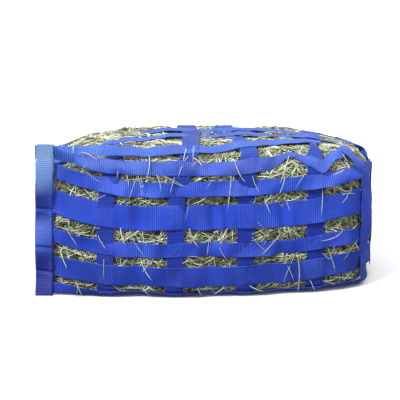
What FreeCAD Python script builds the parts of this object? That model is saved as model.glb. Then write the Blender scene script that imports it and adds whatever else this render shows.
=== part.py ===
import FreeCAD, Part
import math
import os

# Slow-feed hay bale bag of flat webbing, lying on one long side, filled with one bale.
# Millimetres. X along the bag with the mouth at -X, front at -Y, Z up, origin under the middle.

# Webbing
WEB = 2.2                  # thickness
WIDE = 76.2                # 3 inch
BAND = 50.8                # 2 inch: hoops and edge bands
NARROW = 44.5              # 1 3/4 inch
LOW = 63.5                 # 2 1/2 inch
GAP = 0.8                  # air between two layers that cross
ACROSS = 8                 # steps across a strap where it follows a rounded edge

# Overall
LEFT = -505.0              # free edge of the mouth hem
RIGHT = 505.0              # outer face of the bands on the closed end
HEM_HEIGHT = 478.0
ROOF = 458.0               # outer face of the top straps in the middle of the bag
FRONT = -190.0             # outer face of the front straps at the mouth
SWELL = 28.0               # the hay pushes the front straps out this much further
CREST = -120.0             # where the front stands out furthest
HEADING = math.radians(14) # the front has turned this far in plan where its corner starts
CORNER_FRONT = 130.0       # plan radius of the closed end's front corner
CORNER_BACK = 160.0
SHOULDER = 90.0            # radius between front and top
SHOULDER_BACK = 100.0
FOOT = 30.0                # radius between front and bottom

# Mouth and flap
MOUTH = LEFT + BAND        # inner edge of the mouth hem
FAN_START = -91.0          # left of here the front straps fan out to the full height of the hem
HIGH_ROOF = HEM_HEIGHT + 4 # the front's rounded edges straighten towards the mouth, up to this height
FLAT = 6.0                 # and down to this radius
MOUTH_DIP = 58.0           # the top falls this much towards the mouth
END_DIP = 26.0             # and this much towards the closed end
END_DIP_START = 150.0
FLAP_FACE = MOUTH - 11.0   # outer face of the flap straps
REAR_CORNER = 60.0         # plan radius where the back turns into the flap
HINGE_GAP = 5.0

# Straps: (distance up the front in the middle of the bag, at the mouth, width)
FRONT_ROWS = [(411, 455, NARROW), (346, 401, NARROW), (256, 302, WIDE),
              (153, 195, NARROW), (69, 96, LOW), (-5, 26, NARROW)]
BACK_ROWS = [(398, NARROW), (337, NARROW), (248, WIDE), (145, NARROW), (66, LOW), (-5, NARROW)]
FRONT_TOP_RISE = 64.0      # the first top strap's distance above the first front strap
TOP_ROWS = [(-30.0, 0.08), (65.0, 0.0)]             # y of the inner top straps and their slant
TOP_SLANT = 0.12           # slant of the first top strap right of the crest
BOTTOM_ROWS = [-80.0, 0.0, 90.0]
HOOPS = [-297.0, -91.0, 120.0, 329.0]
END_ROWS = [337.0, 248.0, 145.0, 66.0]
FLAP_ROWS = [(337, NARROW), (248, WIDE), (145, NARROW), (66, LOW)]

# Hardware
RING = {"wire": 2.0, "half": 14.0, "side": 4.0, "tab": 15.0, "sewn": 38.0}
EYE = {"wire": 2.5, "half": 14.0, "side": 1.0, "tab": 15.0, "sewn": 38.0}
HANGER = {"wire": 3.0, "half": 28.0, "side": 6.0, "tab": 38.1, "sewn": 70.0}
BEND = 5.0                 # radius of a ring's two tight corners
PLAY = 0.4                 # between a ring's wire and the tab folded round it
TAB_WEB = 2.0
SNAP_HEIGHTS = [320.0, 160.0]
SNAP_Y = -136.0
RING_ABOVE_SNAP = 32.0
RING_X = LEFT + 17.0
HANGER_X = [-250.0, 250.0]
HANGER_Z = 330.0
BARREL = 4.6
BARREL_LENGTH = 32.0
BOLT = 1.9
BOLT_TRAVEL = 8.0
HOOK_RADIUS = 11.0
HOOK_WIRE = 2.4

V = FreeCAD.Vector


def ring_reach(kind):
    """How far a tab with its ring stands off the wall it is sewn to."""
    return GAP / 2 + 2 * (TAB_WEB + PLAY + kind["wire"])


BACK = SWELL - FRONT - ring_reach(HANGER)           # outer face of the back straps
LAYER = WEB + GAP
END_FACE = RIGHT - LAYER                            # outer face of the closed end's level straps
FRONT_TURN = END_FACE - CORNER_FRONT * (1 - math.sin(HEADING))
BACK_TURN = END_FACE - CORNER_BACK
EASE = math.tan(HEADING) / (2 * (FRONT_TURN - CREST))
LIP = FRONT + WEB + 0.6 + WEB                       # inner face of the mouth hem
HOOP_OUT = LAYER                                    # depth of the hoops' outer face under the straps'
SLANT_ROOM = 2.0                                    # the last hoop lies this much deeper
HAY_IN = HOOP_OUT + SLANT_ROOM + WEB + 1.0          # depth of the hay under the straps' outer face


def fall(x):
    """0 in the middle of the bag, 1 at the mouth."""
    t = min(max((FAN_START - x) / (FAN_START - MOUTH), 0.0), 1.0)
    return t ** 3


def mix(a, b, t):
    return a + (b - a) * t


def profile(p, roof, shoulder, foot):
    """Point p up a rounded wall: inset from its face, height, and the outward normal's two parts."""
    start = roof - shoulder
    if p > start:
        a = min((p - start) / shoulder, math.pi / 2)
        beyond = p - start - a * shoulder
        inset = shoulder * (1 - math.cos(a)) + beyond
        return inset, start + shoulder * math.sin(a), math.cos(a), math.sin(a)
    if p < foot:
        a = min((foot - p) / foot, math.pi / 2)
        beyond = foot - p - a * foot
        inset = foot * (1 - math.cos(a)) + beyond
        return inset, foot - foot * math.sin(a), math.cos(a), -math.sin(a)
    return 0.0, p, 1.0, 0.0


def front_face(x):
    """y and slope of the front's plan line, up to where its corner starts."""
    if x > CREST:
        return FRONT - SWELL + EASE * (x - CREST) ** 2, 2 * EASE * (x - CREST)
    t = min((CREST - x) / (CREST - MOUTH), 1.0)
    slope = -2 * SWELL * t / (CREST - MOUTH) if x > MOUTH else 0.0
    return FRONT - SWELL * (1 - t * t), slope


def front_plan(s):
    """Along the front, round its corner, then along the closed end: x, y and outward normal."""
    if s <= FRONT_TURN:
        y, slope = front_face(s)
        size = math.hypot(1, slope)
        return s, y, slope / size, -1 / size
    past = max(s - front_corner(90), 0.0)
    a = min(HEADING + (s - FRONT_TURN) / CORNER_FRONT, math.pi / 2)
    cx, cy = corner_centre()
    out_x, out_y = math.sin(a), -math.cos(a)
    return cx + CORNER_FRONT * out_x, cy + CORNER_FRONT * out_y + past, out_x, out_y


def corner_centre():
    return END_FACE - CORNER_FRONT, front_face(FRONT_TURN)[0] + CORNER_FRONT * math.cos(HEADING)


def front_corner(degrees):
    """Distance along the front's plan line where it has turned this far."""
    return FRONT_TURN + CORNER_FRONT * (math.radians(degrees) - HEADING)


def back_corner(degrees):
    return BACK_TURN + CORNER_BACK * math.radians(degrees)


def back_plan(s):
    """Along the back between the closed end's back corner and the flap's hinge."""
    rear = FLAP_FACE + REAR_CORNER
    if s > BACK_TURN:
        a = (s - BACK_TURN) / CORNER_BACK
        return (BACK_TURN + CORNER_BACK * math.sin(a), BACK - CORNER_BACK * (1 - math.cos(a)),
                math.sin(a), math.cos(a))
    if s < rear:
        a = (rear - s) / REAR_CORNER
        return (rear - REAR_CORNER * math.sin(a), BACK - REAR_CORNER * (1 - math.cos(a)),
                -math.sin(a), math.cos(a))
    return s, BACK, 0.0, 1.0


def front_wall(s, p):
    f = fall(s)
    x, y, nx, ny = front_plan(s)
    inset = 0.0
    for again in range(3):
        roof = mix(roof_height(max(x - nx * inset, FAN_START)), HIGH_ROOF, f)
        inset, z, out, up = profile(p, roof, mix(SHOULDER, FLAT, f), mix(FOOT, FLAT, f))
    return V(x - nx * inset, y - ny * inset, z), V(nx * out, ny * out, up)


def back_wall(s, p):
    x, y, nx, ny = back_plan(s)
    inset = 0.0
    for again in range(3):
        inset, z, out, up = profile(p, roof_height(x - nx * inset), SHOULDER_BACK, FOOT)
    return V(x - nx * inset, y - ny * inset, z), V(nx * out, ny * out, up)


def roof_height(x):
    """Outer face of the top straps: it dips towards both ends."""
    left = min(max((FAN_START - x) / (FAN_START - MOUTH), 0.0), 1.1)
    right = max((x - END_DIP_START) / (END_FACE - END_DIP_START), 0.0)
    return ROOF - MOUTH_DIP * left ** 1.5 - END_DIP * right ** 2


def strip(surface, stations, place, width, depth=0.0, thick=WEB):
    """Webbing along a surface: its outer face lies depth under the surface."""
    sections = []
    caps = []
    for s in stations:
        outer, inner = [], []
        for k in range(ACROSS + 1):
            point, normal = surface(s, place(s) + (k / ACROSS - 0.5) * width)
            outer.append(point - normal * depth)
            inner.append(point - normal * (depth + thick))
        edges = [curve(outer), Part.makeLine(outer[-1], inner[-1]),
                 curve(inner[::-1]), Part.makeLine(inner[0], outer[0])]
        sections.append(Part.Wire(edges))
        if s in (stations[0], stations[-1]):
            caps.append(Part.makeRuledSurface(curve(outer), curve(inner)))
    shell = Part.makeShell(Part.makeLoft(sections, False, True).Faces + caps)
    shell.sewShape()
    solid = Part.makeSolid(shell)
    if solid.Volume < 0:
        solid.reverse()
    return solid


def curve(points):
    spline = Part.BSplineCurve()
    spline.interpolate(points)
    return spline.toShape()


def spread(a, b, step):
    n = max(2, int(math.ceil(abs(b - a) / step)))
    return [a + (b - a) * i / n for i in range(n + 1)]


def box(x0, x1, y0, y1, z0, z1):
    return Part.makeBox(x1 - x0, y1 - y0, z1 - z0, V(x0, y0, z0))


def outline(x, front, back, bottom, top, radii):
    """Closed rounded outline at x. Radii: front top, back top, back foot, front foot."""
    spots = [(front, top, 1, -1), (back, top, -1, -1), (back, bottom, -1, 1), (front, bottom, 1, 1)]
    marks = []
    for i, ((y, z, sy, sz), r) in enumerate(zip(spots, radii)):
        side, level = V(x, y, z + sz * r), V(x, y + sy * r, z)
        mid = V(x, y + sy * r, z + sz * r) + V(0, -sy, -sz) * (r / math.sqrt(2))
        marks.append((side, mid, level) if i % 2 == 0 else (level, mid, side))
    edges = []
    for i, (a, m, b) in enumerate(marks):
        edges.append(Part.Arc(a, m, b).toShape())
        edges.append(Part.makeLine(b, marks[(i + 1) % 4][0]))
    return Part.Wire(edges)


def rounded_section(x, depth):
    """Closed outline round the bag at x, depth under the straps' outer face."""
    radii = [SHOULDER - depth, SHOULDER_BACK - depth, FOOT - depth, FOOT - depth]
    return outline(x, front_face(x)[0] + depth, BACK - depth, depth, roof_height(x) - depth, radii)


def hoop(x):
    a, b = x - BAND / 2, x + BAND / 2
    depth = HOOP_OUT + (SLANT_ROOM if x > END_DIP_START else 0.0)
    rings = [Part.makeLoft([rounded_section(a, d), rounded_section(b, d)], True, True)
             for d in (depth, depth + WEB)]
    return rings[0].cut(rings[1])


def hay():
    """The bale: rounded outlines that draw in round the plan corners of the closed end and the flap."""
    d = HAY_IN
    left, right = MOUTH - 2, END_FACE - d
    rear_r = REAR_CORNER + 6
    cx, cy = corner_centre()
    sections = []
    for x in (left, left + 22, left + rear_r, -300, FAN_START, CREST + 200, 230, 320, 372, 400, 430, 455,
              right - 28, right - 14, right - 5, right - 1):
        front = front_face(x)[0] + d
        if x > FRONT_TURN - 30:
            front = max(front, cy - arc_reach(x - cx, CORNER_FRONT - d))
        back = min(BACK - d, BACK - CORNER_BACK + arc_reach(x - BACK_TURN, CORNER_BACK - d))
        rear = rear_r - arc_reach(left + rear_r - x, rear_r)
        back -= rear
        end = 80 - arc_reach(x - (right - 80), 80)
        foot = FOOT - d + 0.5 * end
        radii = [SHOULDER - d + 3, SHOULDER_BACK - d + 4 + 1.1 * rear, foot, foot]
        radii = [min(r, 0.46 * (back - front)) for r in radii]
        sections.append(outline(x, front, back, d + 0.3 * end, roof_height(x) - d - 1 - 0.6 * end, radii))
    return Part.makeLoft(sections, True, True)


def arc_reach(beyond, radius):
    """The other side of a right triangle on this radius, at this distance past its centre."""
    t = min(max(beyond, 0.0), radius * 0.99)
    return math.sqrt(radius * radius - t * t)


def front_straps(parts):
    stations = [LEFT + 6] + spread(MOUTH, CREST, 24) + spread(CREST, FRONT_TURN, 60)[1:]
    stations += spread(FRONT_TURN, front_corner(62), 14)[1:]
    for i, (middle, mouth, width) in enumerate(FRONT_ROWS):
        parts["front_strap_%d" % (i + 1)] = strip(
            front_wall, stations, lambda s: mix(middle, mouth, fall(s)), width)


def back_straps(parts):
    rear = FLAP_FACE + REAR_CORNER
    start = rear - REAR_CORNER * math.pi / 2
    stations = spread(start, rear, 9) + spread(rear, FAN_START, 24)[1:] + [END_DIP_START]
    stations += spread(END_DIP_START, BACK_TURN, 60)[1:]
    for i, (middle, width) in enumerate(BACK_ROWS):
        last = 88 if middle in END_ROWS else 62
        round_it = spread(BACK_TURN, back_corner(last), 12)[1:]
        parts["back_strap_%d" % (i + 1)] = strip(back_wall, stations + round_it, lambda s: middle, width)


def top_straps(parts):
    stations = spread(MOUTH + 55, FAN_START, 24) + spread(FAN_START, 360, 50)[1:]
    middle, mouth = FRONT_ROWS[0][0], FRONT_ROWS[0][1]

    def beside_first(s):
        drift = TOP_SLANT * max(0.0, s - CREST)
        return mix(middle + FRONT_TOP_RISE + drift, mouth + 47, fall(s))
    parts["top_strap_1"] = strip(front_wall, stations, beside_first, NARROW)

    def roof(s, y):
        return V(s, y, roof_height(s)), V(0, 0, 1)
    stations = spread(MOUTH + 4, FAN_START, 24) + [END_DIP_START] + spread(END_DIP_START, 400, 50)[1:]
    for i, (y, slant) in enumerate(TOP_ROWS):
        parts["top_strap_%d" % (i + 2)] = strip(
            roof, stations, lambda s: y + slant * max(0.0, s - CREST), NARROW)


def bottom_straps(parts):
    for i, y in enumerate(BOTTOM_ROWS):
        parts["bottom_strap_%d" % (i + 1)] = box(MOUTH + 4, 400, y - NARROW / 2, y + NARROW / 2, 0, WEB)


def closed_end(parts):
    """Bands over the strap ends at both corners, level straps between them, and one upright."""
    heights = spread(2, FOOT, 8) + spread(ROOF - END_DIP - SHOULDER_BACK, 405, 12)
    for name, wall, place in (("front", front_wall, front_corner(58)), ("back", back_wall, back_corner(62))):
        parts["end_band_" + name] = strip(lambda p, s: wall(s, p), heights, lambda p: place, BAND, -LAYER)
    low, high = corner_centre()[1], back_plan(back_corner(88))[1]
    stations = spread(front_corner(66), front_corner(90), 12)
    stations.append(front_corner(90) + high - 4 - low)
    for i, (z, width) in enumerate(FLAP_ROWS):
        parts["end_strap_%d" % (i + 1)] = strip(front_wall, stations, lambda s: z, width)
    middle = (low + high) / 2
    parts["end_upright"] = box(RIGHT - WEB, RIGHT, middle - BAND / 2, middle + BAND / 2, 30, 350)


def mouth(parts):
    """Double band along the mouth's front, and single bands across its top and bottom."""
    parts["mouth_hem_outer"] = box(LEFT, MOUTH, FRONT - 0.6 - WEB, FRONT - 0.6, 0, HEM_HEIGHT)
    parts["mouth_hem_inner"] = box(LEFT, MOUTH, LIP - WEB, LIP, 0, HEM_HEIGHT)
    reach = FRONT + 60, BACK - 80
    level = roof_height(MOUTH + 4) - LAYER
    slope = (roof_height(MOUTH + 44) - roof_height(MOUTH + 4)) / 40
    a, b = V(MOUTH + 2, reach[0], level - 2 * slope), V(MOUTH + 44, reach[0], level + 40 * slope)
    face = Part.Face(Part.makePolygon([a, b, b - V(0, 0, WEB), a - V(0, 0, WEB), a]))
    parts["mouth_hem_top"] = face.extrude(V(0, reach[1] - reach[0], 0))
    parts["mouth_hem_bottom"] = box(MOUTH + 2, MOUTH + 44, FRONT + 60, BACK - 80, LAYER, LAYER + WEB)


def flap(parts):
    hinge = BACK - REAR_CORNER - HINGE_GAP
    free = LIP + ring_reach(RING) + 3
    for i, (z, width) in enumerate(FLAP_ROWS):
        parts["flap_strap_%d" % (i + 1)] = box(FLAP_FACE, FLAP_FACE + WEB, free + 6, hinge,
                                               z - width / 2, z + width / 2)
    outer = FLAP_FACE - GAP
    parts["flap_hem"] = box(outer - WEB, outer, free, free + BAND, 25, 370)
    middle = (free + BAND + hinge) / 2
    parts["flap_upright"] = box(outer - WEB, outer, middle - BAND / 2, middle + BAND / 2, 25, 370)


def put(shape, turn, at):
    """From the fitting's own frame (wall at y = 0, facing +Y, ring hanging along -Z)."""
    shape.rotate(V(0, 0, 0), V(0, 0, 1), turn)
    shape.translate(at)
    return shape


def bar_offset(kind):
    return GAP / 2 + TAB_WEB + PLAY + kind["wire"]


def tab(kind):
    """A strip of webbing folded round the ring's straight bar and sewn down above it."""
    c, inner = bar_offset(kind), PLAY + kind["wire"]
    outer = inner + TAB_WEB
    low = GAP / 2
    join, top = 4 * outer, 4 * outer + kind["sewn"] / 2

    def side_view(near, far, radius, shut, end):
        points = [V(0, near, end), V(0, shut, end), V(0, shut, join), V(0, far, radius)]
        edges = [Part.makeLine(a, b) for a, b in zip(points, points[1:]) if a.distanceToPoint(b) > 0.01]
        edges.append(Part.makeLine(V(0, far, radius), V(0, far, 0)))
        edges.append(Part.Arc(V(0, far, 0), V(0, c, -radius), V(0, near, 0)).toShape())
        edges.append(Part.makeLine(V(0, near, 0), V(0, near, end)))
        return Part.Face(Part.Wire(edges))
    body = side_view(low, c + outer, outer, low + 2 * TAB_WEB, top)
    inside = low + TAB_WEB
    hole = Part.Face(Part.Wire([
        Part.makeLine(V(0, inside, join - 3), V(0, c + inner, inner)),
        Part.makeLine(V(0, c + inner, inner), V(0, c + inner, 0)),
        Part.Arc(V(0, c + inner, 0), V(0, c, -inner), V(0, inside, 0)).toShape(),
        Part.makeLine(V(0, inside, 0), V(0, inside, join - 3))]))
    width = kind["tab"]
    solid = body.cut(hole).extrude(V(width, 0, 0))
    solid.translate(V(-width / 2, 0, 0))
    return solid


def ring(kind):
    """D-ring: straight bar at the top, two tight corners, short sides, half-round bottom."""
    c, w, h, s = bar_offset(kind), kind["wire"], kind["half"], kind["side"]
    k = BEND * (1 - 1 / math.sqrt(2))
    path = Part.Wire([
        Part.makeLine(V(-(h - BEND), c, 0), V(h - BEND, c, 0)),
        Part.Arc(V(h - BEND, c, 0), V(h - k, c, -k), V(h, c, -BEND)).toShape(),
        Part.makeLine(V(h, c, -BEND), V(h, c, -BEND - s)),
        Part.Arc(V(h, c, -BEND - s), V(0, c, -BEND - s - h), V(-h, c, -BEND - s)).toShape(),
        Part.makeLine(V(-h, c, -BEND - s), V(-h, c, -BEND)),
        Part.Arc(V(-h, c, -BEND), V(-(h - k), c, -k), V(-(h - BEND), c, 0)).toShape()])
    section = Part.Wire([Part.makeCircle(w, V(-(h - BEND), c, 0), V(1, 0, 0))])
    return path.makePipeShell([section], True, False)


def ring_bottom(kind):
    """Height of the middle of the wire at the bottom of the ring."""
    return -(BEND + kind["side"] + kind["half"])


def rod(radius, z0, z1, y, x=0.0):
    return Part.makeCylinder(radius, z1 - z0, V(x, y, z0), V(0, 0, 1))


COLLAR_TOP = ring_bottom(EYE) + EYE["wire"] + 0.5
COLLAR_LOW = COLLAR_TOP - 9.0
BARREL_TOP = COLLAR_LOW - 0.4
BARREL_LOW = BARREL_TOP - BARREL_LENGTH
BOLT_LOW = BARREL_LOW - HOOK_RADIUS - 0.4
PIN = 2.3


def snap_eye():
    """D-shaped eye with a collar that the hook's pin turns in."""
    c = bar_offset(EYE)
    body = ring(EYE).fuse(rod(4.6, COLLAR_LOW, COLLAR_TOP, c))
    return body.cut(rod(PIN + 0.05, COLLAR_LOW - 1, COLLAR_TOP + 1, c)).removeSplitter()


def snap_hook():
    """Swivel pin with its rivet head, barrel with a slot for the thumb stud, and the hook."""
    c = bar_offset(EYE)
    body = rod(PIN, BARREL_TOP - 2, COLLAR_TOP + 0.4, c)
    body = body.fuse(rod(PIN + 1.2, COLLAR_TOP + 0.3, COLLAR_TOP + 2.3, c))
    body = body.fuse(rod(BARREL, BARREL_LOW, BARREL_TOP, c))
    centre = V(HOOK_RADIUS - 1, c, BARREL_LOW - HOOK_RADIUS + 1)
    start, end = math.radians(124), math.radians(-158)
    points = [centre + V(math.cos(a), 0, math.sin(a)) * HOOK_RADIUS
              for a in (start, (start + end) / 2, end)]
    path = Part.Wire([Part.Arc(*points).toShape()])
    tangent = V(math.sin(start), 0, -math.cos(start))
    section = Part.Wire([Part.makeCircle(HOOK_WIRE, points[0], tangent)])
    body = body.fuse(path.makePipeShell([section], True, False))
    body = body.cut(rod(BOLT + 0.15, BOLT_LOW - 0.4, BARREL_TOP - 4, c))
    slot_low, slot_high = thumb_height() - 2.2, thumb_height() + BOLT_TRAVEL + 2.2
    slot = box(-2.0, 2.0, c, c + BARREL + 1, slot_low, slot_high)
    return body.cut(slot).removeSplitter()


def thumb_height():
    return BARREL_LOW + BARREL_LENGTH * 0.38


def snap_bolt():
    """Sliding bolt with its thumb stud."""
    c = bar_offset(EYE)
    top = BARREL_TOP - 4 - BOLT_TRAVEL - 1.0
    body = rod(BOLT, BOLT_LOW, top, c)
    stud = Part.makeCylinder(1.6, BARREL + 1.6, V(0, c, thumb_height()), V(0, 1, 0))
    cap = Part.makeCylinder(3.2, 1.6, V(0, c + BARREL + 0.6, thumb_height()), V(0, 1, 0))
    return body.fuse(stud).fuse(cap).removeSplitter()


def hardware(parts):
    flap_out = FLAP_FACE - GAP - WEB
    ring_spots = [V(RING_X, LIP, z + RING_ABOVE_SNAP) for z in SNAP_HEIGHTS]
    snap_spots = [V(flap_out, SNAP_Y, z) for z in SNAP_HEIGHTS]
    hanger_spots = [V(x, BACK, HANGER_Z) for x in HANGER_X]
    parts["lip_ring_tabs"] = Part.makeCompound([put(tab(RING), 0, p) for p in ring_spots])
    parts["snap_tabs"] = Part.makeCompound([put(tab(EYE), 90, p) for p in snap_spots])
    parts["hanging_tabs"] = Part.makeCompound([put(tab(HANGER), 0, p) for p in hanger_spots])
    for i in range(2):
        n = "_%d" % (i + 1)
        parts["lip_ring" + n] = put(ring(RING), 0, ring_spots[i])
        parts["snap_eye" + n] = put(snap_eye(), 90, snap_spots[i])
        parts["snap_hook" + n] = put(snap_hook(), 90, snap_spots[i])
        parts["snap_bolt" + n] = put(snap_bolt(), 90, snap_spots[i])
        parts["hanging_ring" + n] = put(ring(HANGER), 0, hanger_spots[i])


def build():
    parts = {}
    front_straps(parts)
    back_straps(parts)
    top_straps(parts)
    bottom_straps(parts)
    for i, x in enumerate(HOOPS):
        parts["hoop_%d" % (i + 1)] = hoop(x)
    closed_end(parts)
    mouth(parts)
    flap(parts)
    parts["hay"] = hay()
    hardware(parts)
    return parts


os.makedirs("parts", exist_ok=True)
for name, shape in build().items():
    shape.exportStep("parts/%s.step" % name)
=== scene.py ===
import bpy
import math
import numpy as np
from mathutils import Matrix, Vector


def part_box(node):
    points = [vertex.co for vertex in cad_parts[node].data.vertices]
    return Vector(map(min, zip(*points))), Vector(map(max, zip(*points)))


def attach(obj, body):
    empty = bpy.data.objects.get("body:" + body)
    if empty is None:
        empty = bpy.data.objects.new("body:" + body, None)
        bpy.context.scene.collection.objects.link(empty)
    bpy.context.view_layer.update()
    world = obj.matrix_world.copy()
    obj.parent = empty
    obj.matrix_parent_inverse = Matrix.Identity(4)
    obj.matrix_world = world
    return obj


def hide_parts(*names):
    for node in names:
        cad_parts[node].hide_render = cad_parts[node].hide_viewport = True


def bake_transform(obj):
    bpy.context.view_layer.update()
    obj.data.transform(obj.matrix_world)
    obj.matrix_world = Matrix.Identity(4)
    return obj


# Looks for a webbing hay bag. Shapes are worked out in millimetres and made in metres.
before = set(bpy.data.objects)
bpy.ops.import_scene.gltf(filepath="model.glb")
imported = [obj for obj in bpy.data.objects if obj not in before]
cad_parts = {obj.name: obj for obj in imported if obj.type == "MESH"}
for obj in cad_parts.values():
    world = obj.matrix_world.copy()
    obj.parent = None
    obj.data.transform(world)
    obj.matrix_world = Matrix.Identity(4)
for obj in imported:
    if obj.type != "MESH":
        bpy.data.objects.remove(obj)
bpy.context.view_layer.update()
MM = 0.001


def cad(node):
    """Lowest and highest corner of a CAD node, in millimetres."""
    low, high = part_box(node)
    return np.array(low) / MM, np.array(high) / MM


# Driving sizes, read from the frame
HEM_LOW, HEM_HIGH = cad("mouth_hem_outer")
LEFT, MOUTH, HEM_HEIGHT = HEM_LOW[0], HEM_HIGH[0], HEM_HIGH[2]
WEB = HEM_HIGH[1] - HEM_LOW[1]
BAND = MOUTH - LEFT
WIDE, NARROW, LOW = 1.5 * BAND, 44.5, 63.5
FRONT = HEM_HIGH[1] + 0.6       # the front straps' outer face at the mouth
SWELL = FRONT - cad("front_strap_3")[0][1]
BACK = cad("back_strap_3")[1][1]
ROOF = cad("top_strap_2")[1][2]
END_FACE = cad("end_strap_1")[1][0]
FLAP_FACE = cad("flap_strap_1")[0][0]
LAYER = 3.0
CREST, HEADING = -120.0, math.radians(14)
CORNER_FRONT, CORNER_BACK, REAR_CORNER = 130.0, 160.0, 60.0
SHOULDER, SHOULDER_BACK, FOOT = 90.0, 100.0, 30.0
MOUTH_DIP, END_DIP, END_DIP_START = 58.0, 26.0, 150.0
HOOPS = [float(np.mean([b[0] for b in cad("hoop_%d" % i)])) for i in (1, 2, 3, 4)]
FAN_START = HOOPS[1]
HIGH_ROOF, FLAT = HEM_HEIGHT + 4, 6.0
FRONT_TURN = END_FACE - CORNER_FRONT * (1 - math.sin(HEADING))
BACK_TURN = END_FACE - CORNER_BACK
EASE = math.tan(HEADING) / (2 * (FRONT_TURN - CREST))
RIB = 6.2                       # pitch of the webbing's ribs
RIB_HEIGHT = 0.5
YARN = 1.7                      # pitch of the yarns across the webbing
DUST = 0.12                     # how much hay dust shows on the webbing
STEP = RIB / 5

# Straps: distance up the front in the middle of the bag, at the mouth, width
FRONT_ROWS = [(411, 455, NARROW), (346, 401, NARROW), (256, 302, WIDE),
              (153, 195, NARROW), (69, 96, LOW), (-5, 26, NARROW)]
BACK_ROWS = [(398, NARROW), (337, NARROW), (248, WIDE), (145, NARROW), (66, LOW), (-5, NARROW)]
FRONT_TOP_RISE, TOP_SLANT = 64.0, 0.12
TOP_ROWS = [(-30.0, 0.08), (65.0, 0.0)]
BOTTOM_ROWS = [float(np.mean([b[1] for b in cad("bottom_strap_%d" % i)])) for i in (1, 2, 3)]


# ---------------------------------------------------------------- numbers

def mix(a, b, t):
    return a + (b - a) * t


def fall(x):
    return np.clip((FAN_START - x) / (FAN_START - MOUTH), 0, 1) ** 3


def roof_height(x):
    left = np.clip((FAN_START - x) / (FAN_START - MOUTH), 0, 1.1)
    right = np.maximum((x - END_DIP_START) / (END_FACE - END_DIP_START), 0)
    return ROOF - MOUTH_DIP * left ** 1.5 - END_DIP * right ** 2


def ripple(rng, waves=5, longest=400.0, shortest=60.0):
    """A smooth random line of about unit height."""
    lengths = np.geomspace(longest, shortest, waves)
    phases = rng.uniform(0, 2 * math.pi, waves)
    weights = (lengths / longest) ** 0.8
    weights = weights / np.sqrt((weights ** 2).sum() / 2)

    def value(s):
        s = np.asarray(s, float)
        return sum(w * np.sin(2 * math.pi * s / l + p) for w, l, p in zip(weights, lengths, phases))
    return value


def bell(x, middle, half):
    return np.exp(-((x - middle) / half) ** 2)


# ---------------------------------------------------------------- surfaces the straps lie on

def profile(p, roof, shoulder, foot):
    start = roof - shoulder
    up = np.clip((p - start) / shoulder, 0, math.pi / 2)
    down = np.clip((foot - p) / foot, 0, math.pi / 2)
    over = np.maximum(p - start - shoulder * math.pi / 2, 0)
    under = np.maximum(foot - p - foot * math.pi / 2, 0)
    inset = shoulder * (1 - np.cos(up)) + foot * (1 - np.cos(down)) + over + under
    z = np.clip(p, foot, start) + shoulder * np.sin(up) - foot * np.sin(down)
    return inset, z, np.cos(up) * np.cos(down), np.sin(up) - np.sin(down)


def front_face(x):
    """y and slope of the front's plan line, up to where its corner starts."""
    t = np.clip((CREST - x) / (CREST - MOUTH), 0, 1)
    right = np.maximum(x - CREST, 0)
    slope = 2 * EASE * right - 2 * SWELL * t * (x > MOUTH) / (CREST - MOUTH)
    return FRONT - SWELL * (1 - t * t) + EASE * right ** 2, slope


def front_plan(s):
    y, slope = front_face(np.minimum(s, FRONT_TURN))
    size = np.hypot(1, slope)
    a = np.clip(HEADING + (s - FRONT_TURN) / CORNER_FRONT, HEADING, math.pi / 2)
    past = np.maximum(s - front_corner(90), 0)
    round_it = s > FRONT_TURN
    cx = END_FACE - CORNER_FRONT
    cy = front_face(FRONT_TURN)[0] + CORNER_FRONT * math.cos(HEADING)
    x = np.where(round_it, cx + CORNER_FRONT * np.sin(a), s)
    y = np.where(round_it, cy - CORNER_FRONT * np.cos(a) + past, y)
    return x, y, np.where(round_it, np.sin(a), slope / size), np.where(round_it, -np.cos(a), -1 / size)


def front_corner(degrees):
    """Distance along the front's plan line where it has turned this far."""
    return FRONT_TURN + CORNER_FRONT * (math.radians(degrees) - HEADING)


def back_corner(degrees):
    return BACK_TURN + CORNER_BACK * math.radians(degrees)


def back_plan(s):
    """Along the back; left of the rear corner it goes on as the face of the closed flap."""
    rear = FLAP_FACE + REAR_CORNER
    a = np.clip((s - BACK_TURN) / CORNER_BACK, 0, math.pi / 2)
    b = np.clip((rear - s) / REAR_CORNER, 0, math.pi / 2)
    past = np.maximum(rear - s - REAR_CORNER * math.pi / 2, 0)
    x = np.clip(s, rear, BACK_TURN) + CORNER_BACK * np.sin(a) - REAR_CORNER * np.sin(b)
    y = BACK - CORNER_BACK * (1 - np.cos(a)) - REAR_CORNER * (1 - np.cos(b)) - past
    return x, y, np.sin(a) - np.sin(b), np.cos(a) * np.cos(b)


def swept(plan, roof, shoulder, foot):
    """The roof's height is taken where the rounded wall really stands, so it is found in three turns."""
    def surface(s, p):
        x, y, nx, ny = plan(s)
        inset = 0.0
        for _ in range(3):
            inset, z, out, up = profile(p, roof(s, x - nx * inset), shoulder(s), foot(s))
        point = np.stack([x - nx * inset, y - ny * inset, z], -1)
        return point, np.stack([nx * out, ny * out, up], -1)
    return surface


front_wall = swept(front_plan, lambda s, x: mix(roof_height(np.maximum(x, FAN_START)), HIGH_ROOF, fall(s)),
                   lambda s: mix(SHOULDER, FLAT, fall(s)), lambda s: mix(FOOT, FLAT, fall(s)))
back_wall = swept(back_plan, lambda s, x: roof_height(np.maximum(x, FLAP_FACE)),
                  lambda s: SHOULDER_BACK + 0 * s, lambda s: FOOT + 0 * s)


def top_wall(s, p):
    z = roof_height(s) + 0 * p
    return np.stack([s + 0 * p, p + 0 * s, z], -1), np.stack([0 * z, 0 * z, 1 + 0 * z], -1)


def bottom_wall(s, p):
    z = 0 * (s + p)
    return np.stack([s + 0 * p, p + 0 * s, z], -1), np.stack([z, z, z - 1], -1)


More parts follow.
